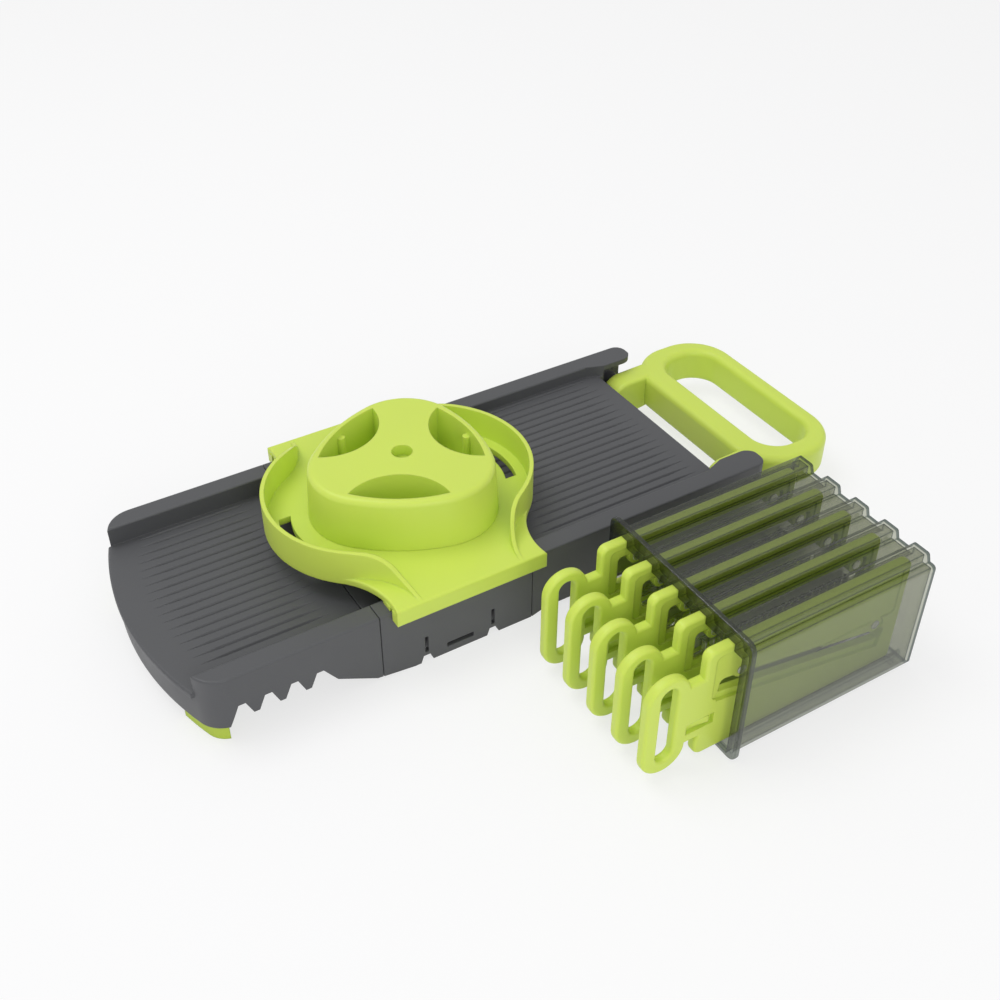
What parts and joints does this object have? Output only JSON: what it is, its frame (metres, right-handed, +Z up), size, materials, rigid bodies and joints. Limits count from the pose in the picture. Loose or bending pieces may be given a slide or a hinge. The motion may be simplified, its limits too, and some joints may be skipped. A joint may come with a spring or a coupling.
{
  "type": "mandoline slicer",
  "caption": "Mandoline slicer with grooved bed, fold-under handle, sliding food holder with three-lobed pusher, and a clear case of blade inserts with finger loops.",
  "frame": {"origin": "on the table below the middle of the seam between front bed and blade frame", "axes": "+X along the slicer towards the handle, +Y to the far rail, +Z up"},
  "size_m": [0.3721, 0.2557, 0.0695],
  "materials": {
    "charcoal_plastic": "charcoal moulded plastic with a fine matt texture",
    "green_plastic": "lime green moulded plastic, satin",
    "green_grip": "lime green soft plastic, matt",
    "dark_plastic": "dark moulded plastic",
    "smoke_clear": "clear smoky plastic",
    "steel": "bright steel",
    "blade_steel": "ground blade steel"
  },
  "bodies": {
    "slicer": {"front_bed": "charcoal_plastic", "blade_frame": "charcoal_plastic", "rear_bed": "charcoal_plastic", "front_feet": "green_grip", "body_screws": "steel", "handle_pivot_pins": "steel"},
    "handle": {"fold_handle": "green_plastic"},
    "holder": {"holder_base": "green_plastic"},
    "pusher": {"pusher_knob": "green_plastic", "spike_plate": "dark_plastic", "food_spikes": "steel", "pusher_screw": "steel"},
    "case": {"blade_case": "smoke_clear"},
    "insert_1": {"insert_frame_1": "green_plastic", "insert_blade_1": "blade_steel", "insert_rivets_1": "steel"},
    "insert_2": {"insert_frame_2": "green_plastic", "insert_blade_2": "blade_steel", "insert_rivets_2": "steel", "insert_comb_2": "blade_steel"},
    "insert_3": {"insert_frame_3": "green_plastic", "insert_blade_3": "blade_steel", "insert_rivets_3": "steel"},
    "insert_4": {"insert_frame_4": "green_plastic", "insert_blade_4": "blade_steel", "insert_rivets_4": "steel", "insert_comb_4": "blade_steel"},
    "insert_5": {"insert_frame_5": "green_plastic", "insert_blade_5": "blade_steel", "insert_rivets_5": "steel"}
  },
  "joints": [
    {"name": "handle_fold", "type": "hinge", "parent": "slicer", "child": "handle", "pos_m": [0.211, 0, 0.018], "axis": [0, 1, 0], "range_deg": [0, 180]},
    {"name": "holder_slide", "type": "slide", "parent": "slicer", "child": "holder", "axis": [1, 0, 0], "range_m": [-0.075, 0.105]},
    {"name": "pusher_lift", "type": "slide", "parent": "holder", "child": "pusher", "axis": [0, 0, 1], "range_m": [0, 0.03]},
    {"name": "case_lift", "type": "slide", "parent": "slicer", "child": "case", "axis": [0, 0, 1], "range_m": [0, 0.06]},
    {"name": "insert_1_slide", "type": "slide", "parent": "case", "child": "insert_1", "axis": [-1, 0, 0], "range_m": [0, 0.11]},
    {"name": "insert_2_slide", "type": "slide", "parent": "case", "child": "insert_2", "axis": [-1, 0, 0], "range_m": [0, 0.11]},
    {"name": "insert_3_slide", "type": "slide", "parent": "case", "child": "insert_3", "axis": [-1, 0, 0], "range_m": [0, 0.11]},
    {"name": "insert_4_slide", "type": "slide", "parent": "case", "child": "insert_4", "axis": [-1, 0, 0], "range_m": [0, 0.11]},
    {"name": "insert_5_slide", "type": "slide", "parent": "case", "child": "insert_5", "axis": [-1, 0, 0], "range_m": [0, 0.11]}
  ]
}
